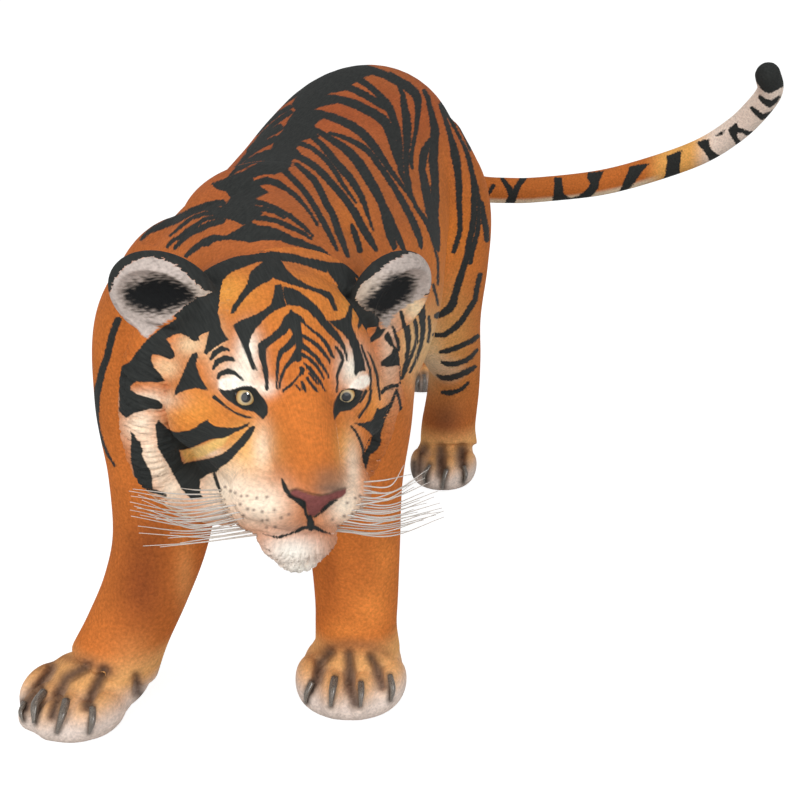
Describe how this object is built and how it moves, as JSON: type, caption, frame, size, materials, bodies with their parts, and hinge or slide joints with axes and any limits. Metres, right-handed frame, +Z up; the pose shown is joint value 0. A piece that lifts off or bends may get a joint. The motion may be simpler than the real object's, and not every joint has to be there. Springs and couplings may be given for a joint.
{
  "type": "tiger figurine",
  "caption": "Life-size standing tiger sculpture in mid-prowl, head turned, with set eyes, long whiskers and a curved raised tail.",
  "frame": {"origin": "centre of the bounding box in plan, on the floor under the soles", "axes": "-Y the way the body walks, +X the tiger's left, +Z up"},
  "size_m": [0.9358, 1.665, 0.7378],
  "materials": {
    "painted_casting": "hand-painted glass-fibre reinforced resin, satin, with fine carved fur",
    "eye": "polished acrylic eye, pale amber iris with dark pupil",
    "whisker": "pale translucent nylon filament"
  },
  "bodies": {
    "root": {"tiger_cast": "painted_casting", "eye_left": "eye", "eye_right": "eye", "whisker_left_1_1": "whisker", "whisker_left_1_2": "whisker", "whisker_left_1_3": "whisker", "whisker_left_1_4": "whisker", "whisker_left_1_5": "whisker", "whisker_left_1_6": "whisker", "whisker_left_2_1": "whisker", "whisker_left_2_2": "whisker", "whisker_left_2_3": "whisker", "whisker_left_2_4": "whisker", "whisker_left_2_5": "whisker", "whisker_left_2_6": "whisker", "whisker_left_3_1": "whisker", "whisker_left_3_2": "whisker", "whisker_left_3_3": "whisker", "whisker_left_3_4": "whisker", "whisker_left_3_5": "whisker", "whisker_left_3_6": "whisker", "whisker_left_4_1": "whisker", "whisker_left_4_2": "whisker", "whisker_left_4_3": "whisker", "whisker_left_4_4": "whisker", "whisker_left_4_5": "whisker", "whisker_left_4_6": "whisker", "whisker_right_1_1": "whisker", "whisker_right_1_2": "whisker", "whisker_right_1_3": "whisker", "whisker_right_1_4": "whisker", "whisker_right_1_5": "whisker", "whisker_right_1_6": "whisker", "whisker_right_2_1": "whisker", "whisker_right_2_2": "whisker", "whisker_right_2_3": "whisker", "whisker_right_2_4": "whisker", "whisker_right_2_5": "whisker", "whisker_right_2_6": "whisker", "whisker_right_3_1": "whisker", "whisker_right_3_2": "whisker", "whisker_right_3_3": "whisker", "whisker_right_3_4": "whisker", "whisker_right_3_5": "whisker", "whisker_right_3_6": "whisker", "whisker_right_4_1": "whisker", "whisker_right_4_2": "whisker", "whisker_right_4_3": "whisker", "whisker_right_4_4": "whisker", "whisker_right_4_5": "whisker", "whisker_right_4_6": "whisker"}
  },
  "joints": []
}
